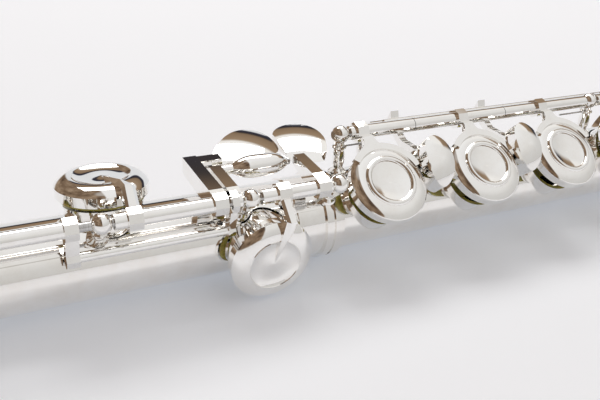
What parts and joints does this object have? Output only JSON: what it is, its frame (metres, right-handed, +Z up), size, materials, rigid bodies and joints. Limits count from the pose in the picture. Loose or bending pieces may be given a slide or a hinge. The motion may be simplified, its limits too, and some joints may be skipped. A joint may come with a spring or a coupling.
{
  "type": "concert flute",
  "caption": "Concert flute in three joints: C foot with roller key, body with plateau and lever keys on steel rods, head joint with lip plate and screw crown.",
  "frame": {"origin": "centre of the open foot end, on the tube axis", "axes": "+X along the tube towards the crown, +Z up as the flute lies on a table with its keys rolled towards -Y (the audience's side)"},
  "size_m": [0.66, 0.0429, 0.0343],
  "materials": {
    "tube_plate": "polished silver plate",
    "key_plate": "polished silver plate",
    "lip_silver": "polished silver plate, engraved edge",
    "pad_skin": "thin translucent skin over felt",
    "cork": "natural cork",
    "spring_steel": "drawn needle wire",
    "rod_steel": "ground steel"
  },
  "bodies": {
    "body_section": {"body_tube": "tube_plate", "barrel": "tube_plate", "main_rib": "tube_plate", "main_posts": "key_plate", "small_posts": "key_plate", "body_springs": "spring_steel", "lower_pivot_rod": "rod_steel", "upper_pivot_rod": "rod_steel", "g_sharp_pivot_rod": "rod_steel", "thumb_pivot_rod": "rod_steel"},
    "foot_section": {"foot_tube": "tube_plate", "foot_socket": "tube_plate", "foot_rib": "tube_plate", "foot_posts": "key_plate", "foot_springs": "spring_steel", "foot_pivot_rod": "rod_steel"},
    "low_c": {"low_c_key": "key_plate", "low_c_pad": "pad_skin", "roller_pin": "rod_steel"},
    "roller": {"low_c_roller": "key_plate"},
    "low_c_sharp": {"low_c_sharp_key": "key_plate", "low_c_sharp_pad": "pad_skin"},
    "d_sharp": {"d_sharp_key": "key_plate", "d_sharp_pad": "pad_skin"},
    "head_section": {"head_tube": "tube_plate", "lip_plate": "lip_silver", "embouchure_riser": "lip_silver"},
    "crown_cap": {"crown": "tube_plate"},
    "stopper": {"stopper_rod": "rod_steel", "stopper_cork": "cork", "stopper_plates": "key_plate"},
    "thumb_b": {"thumb_b_key": "key_plate", "thumb_b_pad": "pad_skin"},
    "thumb_b_flat": {"b_flat_thumb_lever": "key_plate"},
    "g_sharp": {"g_sharp_key": "key_plate", "g_sharp_pad": "pad_skin"},
    "d_trill": {"d_trill_key": "key_plate", "d_trill_pad": "pad_skin"},
    "d_sharp_trill": {"d_sharp_trill_key": "key_plate", "d_sharp_trill_pad": "pad_skin"},
    "d": {"d_key": "key_plate", "d_pad": "pad_skin"},
    "e": {"e_key": "key_plate", "e_pad": "pad_skin"},
    "f": {"f_key": "key_plate", "f_pad": "pad_skin"},
    "f_sharp": {"f_sharp_key": "key_plate", "f_sharp_pad": "pad_skin"},
    "g": {"g_key": "key_plate", "g_pads": "pad_skin"},
    "a": {"a_key": "key_plate", "a_pad": "pad_skin"},
    "b_flat": {"b_flat_key": "key_plate", "b_flat_pad": "pad_skin"},
    "c": {"c_key": "key_plate", "c_pad": "pad_skin"}
  },
  "joints": [
    {"name": "foot_turn", "type": "hinge", "parent": "body_section", "child": "foot_section", "pos_m": [0.12051, 0, 0], "axis": [1, 0, 0], "range_deg": [-60, 3]},
    {"name": "low_c_key_turn", "type": "hinge", "parent": "foot_section", "child": "low_c", "pos_m": [0.03701, -0.01204, 0.0142], "axis": [1, 0, 0], "range_deg": [-4.5, 0], "stiffness_Nm_per_rad": 0.02, "springref_deg": 17.19},
    {"name": "low_c_sharp_key_turn", "type": "hinge", "parent": "foot_section", "child": "low_c_sharp", "pos_m": [0.07194, -0.01204, 0.0142], "axis": [1, 0, 0], "range_deg": [-4.5, 0], "stiffness_Nm_per_rad": 0.02, "springref_deg": 17.19},
    {"name": "d_sharp_key_turn", "type": "hinge", "parent": "foot_section", "child": "d_sharp", "pos_m": [0.10491, -0.01204, 0.0142], "axis": [1, 0, 0], "range_deg": [-10, 0], "stiffness_Nm_per_rad": 0.02, "springref_deg": 17.19},
    {"name": "roller_spin", "type": "hinge", "parent": "low_c", "child": "roller", "pos_m": [0.10681, 0.00101, 0.0152], "axis": [1, 0, 0], "continuous": true},
    {"name": "d_key_turn", "type": "hinge", "parent": "body_section", "child": "d", "pos_m": [0.13603, 0.00063, 0.02046], "axis": [1, 0, 0], "range_deg": [0, 9], "stiffness_Nm_per_rad": 0.02, "springref_deg": -17.19},
    {"name": "e_key_turn", "type": "hinge", "parent": "body_section", "child": "e", "pos_m": [0.16541, 0.00063, 0.02046], "axis": [1, 0, 0], "range_deg": [0, 9], "stiffness_Nm_per_rad": 0.02, "springref_deg": -17.19},
    {"name": "f_key_turn", "type": "hinge", "parent": "body_section", "child": "f", "pos_m": [0.19313, 0.00063, 0.02046], "axis": [1, 0, 0], "range_deg": [0, 9], "stiffness_Nm_per_rad": 0.02, "springref_deg": -17.19},
    {"name": "f_sharp_key_turn", "type": "hinge", "parent": "body_section", "child": "f_sharp", "pos_m": [0.2193, 0.00063, 0.02046], "axis": [1, 0, 0], "range_deg": [0, 9]},
    {"name": "g_key_turn", "type": "hinge", "parent": "body_section", "child": "g", "pos_m": [0.244, 0.00063, 0.02046], "axis": [1, 0, 0], "range_deg": [0, 9], "stiffness_Nm_per_rad": 0.02, "springref_deg": -17.19},
    {"name": "a_key_turn", "type": "hinge", "parent": "body_section", "child": "a", "pos_m": [0.28932, 0.00063, 0.02046], "axis": [1, 0, 0], "range_deg": [0, 9], "stiffness_Nm_per_rad": 0.02, "springref_deg": -17.19},
    {"name": "b_flat_key_turn", "type": "hinge", "parent": "body_section", "child": "b_flat", "pos_m": [0.3101, 0.00063, 0.02046], "axis": [1, 0, 0], "range_deg": [0, 9]},
    {"name": "c_key_turn", "type": "hinge", "parent": "body_section", "child": "c", "pos_m": [0.3517, 0.00063, 0.02046], "axis": [1, 0, 0], "range_deg": [0, 9], "stiffness_Nm_per_rad": 0.02, "springref_deg": -17.19},
    {"name": "g_sharp_key_turn", "type": "hinge", "parent": "body_section", "child": "g_sharp", "pos_m": [0.244, 0.00903, 0.01369], "axis": [1, 0, 0], "range_deg": [0, 8], "stiffness_Nm_per_rad": 0.02, "springref_deg": -17.19},
    {"name": "thumb_b_key_turn", "type": "hinge", "parent": "body_section", "child": "thumb_b", "pos_m": [0.3297, 0.01168, 0.01151], "axis": [1, 0, 0], "range_deg": [-9, 0], "stiffness_Nm_per_rad": 0.02, "springref_deg": 17.19},
    {"name": "thumb_b_flat_lever_turn", "type": "hinge", "parent": "body_section", "child": "thumb_b_flat", "pos_m": [0.3147, 0.01168, 0.01151], "axis": [1, 0, 0], "range_deg": [-9, 0], "stiffness_Nm_per_rad": 0.02, "springref_deg": 17.19},
    {"name": "d_trill_key_turn", "type": "hinge", "parent": "body_section", "child": "d_trill", "pos_m": [0.3712, 0.00556, 0.01869], "axis": [1, 0, 0], "range_deg": [0, 9], "stiffness_Nm_per_rad": 0.02, "springref_deg": -17.19},
    {"name": "d_sharp_trill_key_turn", "type": "hinge", "parent": "body_section", "child": "d_sharp_trill", "pos_m": [0.3892, 0.00556, 0.01869], "axis": [1, 0, 0], "range_deg": [0, 9], "stiffness_Nm_per_rad": 0.02, "springref_deg": -17.19},
    {"name": "head_tuning_slide", "type": "slide", "parent": "body_section", "child": "head_section", "axis": [1, 0, 0], "range_m": [0, 0.012]},
    {"name": "crown_turn", "type": "hinge", "parent": "head_section", "child": "crown_cap", "pos_m": [0.6525, 0, 0], "axis": [1, 0, 0], "range_deg": [-720, 360]},
    {"name": "stopper_slide", "type": "slide", "parent": "head_section", "child": "stopper", "axis": [1, 0, 0], "range_m": [-0.0021, 0.0011]}
  ],
  "couplings": [
    {"joint": "f_sharp_key_turn", "follows": "f_key_turn", "ratio": 1},
    {"joint": "b_flat_key_turn", "follows": "a_key_turn", "ratio": 1},
    {"joint": "stopper_slide", "follows": "crown_turn", "m_per_rad": 0.00015915}
  ]
}
